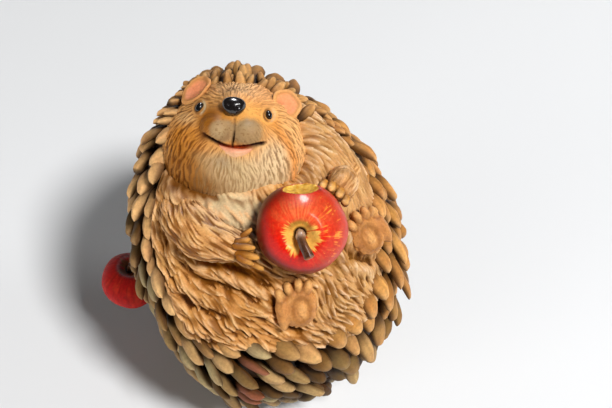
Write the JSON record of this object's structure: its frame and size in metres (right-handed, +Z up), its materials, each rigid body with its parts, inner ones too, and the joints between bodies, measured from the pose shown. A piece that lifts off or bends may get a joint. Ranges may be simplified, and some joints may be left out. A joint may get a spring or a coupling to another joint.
{
  "type": "hedgehog figurine",
  "caption": "Round cast hedgehog ornament looking up with a smile, holding a red apple to its belly, soles forward, quills swept back round the body and another apple at its side",
  "frame": {"origin": "middle of the felt pad's lower face, on the surface that the figurine stands on", "axes": "+Z up; the belly and face look towards -Y and upwards; +X is on the hedgehog's own left"},
  "size_m": [0.1066, 0.0959, 0.1288],
  "materials": {
    "fur": "carved fur, tan paint with a dark brown wash in the recesses and pale dry-brushed ridges",
    "face_fur": "fine carved fur, cream throat, orange-brown cheeks, satin",
    "lip": "pink satin paint",
    "black_gloss": "glossy black bead",
    "ear": "salmon-pink paint, tan rim",
    "paw": "ochre paint with brown lines",
    "apple": "glossy red with yellow streaks round the stem",
    "stem": "brown satin paint",
    "quill": "tan tips over dark olive-brown",
    "dowel": "plain wood dowel",
    "plug": "unpainted casting resin",
    "felt": "dark green felt"
  },
  "bodies": {
    "root": {"body_casting": "fur", "head": "face_fur", "lower_lip": "lip", "nose": "black_gloss", "eye_right": "black_gloss", "eye_left": "black_gloss", "ear_right": "ear", "ear_left": "ear", "arm_right": "fur", "arm_left": "fur", "foot_right": "paw", "foot_left": "paw", "held_apple": "apple", "held_apple_stem": "stem", "held_apple_dowel": "dowel", "side_apple": "apple", "side_apple_stem": "stem", "side_apple_dowel": "dowel", "base_plug": "plug", "felt_pad": "felt", "quills_crown": "quill", "quills_back": "quill", "quills_left_flank": "quill", "quills_right_flank": "quill", "quills_skirt": "quill"}
  },
  "joints": []
}
